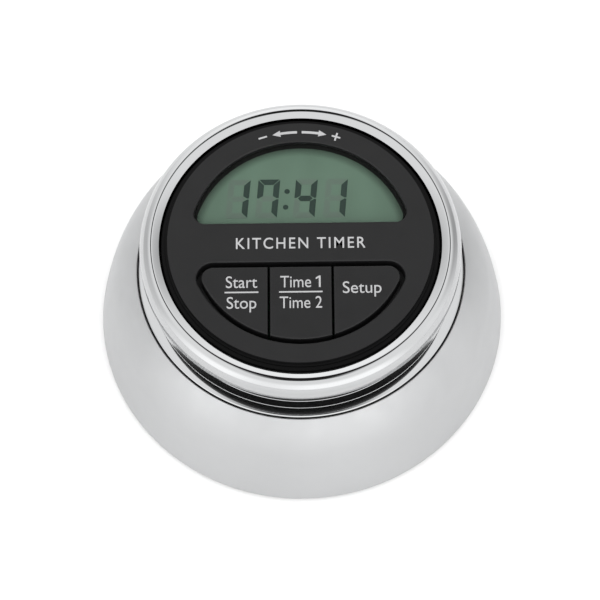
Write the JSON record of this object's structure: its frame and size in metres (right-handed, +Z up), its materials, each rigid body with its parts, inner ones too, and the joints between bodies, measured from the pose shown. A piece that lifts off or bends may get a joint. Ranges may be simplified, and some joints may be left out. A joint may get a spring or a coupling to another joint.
{
  "type": "digital kitchen timer",
  "caption": "Free-standing digital countdown timer with a chrome domed base, a turning chrome setting ring, a half-moon display and half-moon keys.",
  "frame": {"origin": "on the ring's axis, in the plane of the rubber feet's undersides", "axes": "+Z up along the ring's axis, -Y towards the reader (the keys' side), +X to the reader's right"},
  "size_m": [0.07, 0.07, 0.0296],
  "materials": {
    "chrome": "polished",
    "face_plastic": "satin",
    "key_plastic": "satin",
    "cover_plastic": "satin",
    "frame_plastic": "satin",
    "gear_plastic": "satin",
    "foot_rubber": "matte",
    "magnet_steel": "satin",
    "screw_steel": "satin",
    "contact_steel": "satin",
    "cell_sleeve": "gloss",
    "clear_window": "polished",
    "display_glass": "satin",
    "zebra_rubber": "matte",
    "board_laminate": "satin",
    "epoxy": "gloss",
    "component": "matte",
    "brass": "satin",
    "ceramic": "satin",
    "switch_plastic": "satin",
    "wire_sleeve": "satin"
  },
  "bodies": {
    "housing": {"base_shell": "chrome", "base_plate": "cover_plastic", "rubber_feet": "foot_rubber", "magnets": "magnet_steel", "plate_screws": "screw_steel", "battery_cell": "cell_sleeve", "positive_contact": "contact_steel", "negative_contact": "contact_steel", "chassis": "frame_plastic", "chassis_screws": "screw_steel", "encoder_body": "switch_plastic", "face_housing": "face_plastic", "lcd_window": "clear_window", "lcd_panel": "display_glass", "lcd_frame": "frame_plastic", "zebra_strip": "zebra_rubber", "switch_housings": "switch_plastic", "main_board": "board_laminate", "board_screws": "screw_steel", "controller_blob": "epoxy", "clock_crystal": "contact_steel", "board_capacitors": "component", "buzzer_disc": "brass", "buzzer_ceramic": "ceramic", "battery_wires": "wire_sleeve", "buzzer_wires": "wire_sleeve"},
    "dial": {"dial_ring": "chrome", "ring_gear": "gear_plastic", "ring_screws": "screw_steel"},
    "encoder": {"encoder_gear": "gear_plastic", "encoder_shaft": "screw_steel"},
    "left_key": {"key_left": "key_plastic", "plunger_left": "switch_plastic"},
    "middle_key": {"key_middle": "key_plastic", "plunger_middle": "switch_plastic"},
    "right_key": {"key_right": "key_plastic", "plunger_right": "switch_plastic"},
    "door": {"battery_door": "cover_plastic"}
  },
  "joints": [
    {"name": "ring_turn", "type": "hinge", "parent": "housing", "child": "dial", "pos_m": [0, 0, 0.0174], "axis": [0, 0, 1], "continuous": true},
    {"name": "encoder_spin", "type": "hinge", "parent": "housing", "child": "encoder", "pos_m": [0, -0.0144, 0.0155], "axis": [0, 0, 1], "continuous": true},
    {"name": "left_key_press", "type": "slide", "parent": "housing", "child": "left_key", "axis": [0, 0, -1], "range_m": [0, 0.0004], "stiffness_N_per_m": 1500, "springref_m": -0.0005},
    {"name": "middle_key_press", "type": "slide", "parent": "housing", "child": "middle_key", "axis": [0, 0, -1], "range_m": [0, 0.0004], "stiffness_N_per_m": 1500, "springref_m": -0.0005},
    {"name": "right_key_press", "type": "slide", "parent": "housing", "child": "right_key", "axis": [0, 0, -1], "range_m": [0, 0.0004], "stiffness_N_per_m": 1500, "springref_m": -0.0005},
    {"name": "battery_door_open", "type": "hinge", "parent": "housing", "child": "door", "pos_m": [0, 0.0144, 0.0006], "axis": [1, 0, 0], "range_deg": [0, 60]}
  ],
  "couplings": [
    {"joint": "encoder_spin", "follows": "ring_turn", "ratio": 2.5}
  ]
}
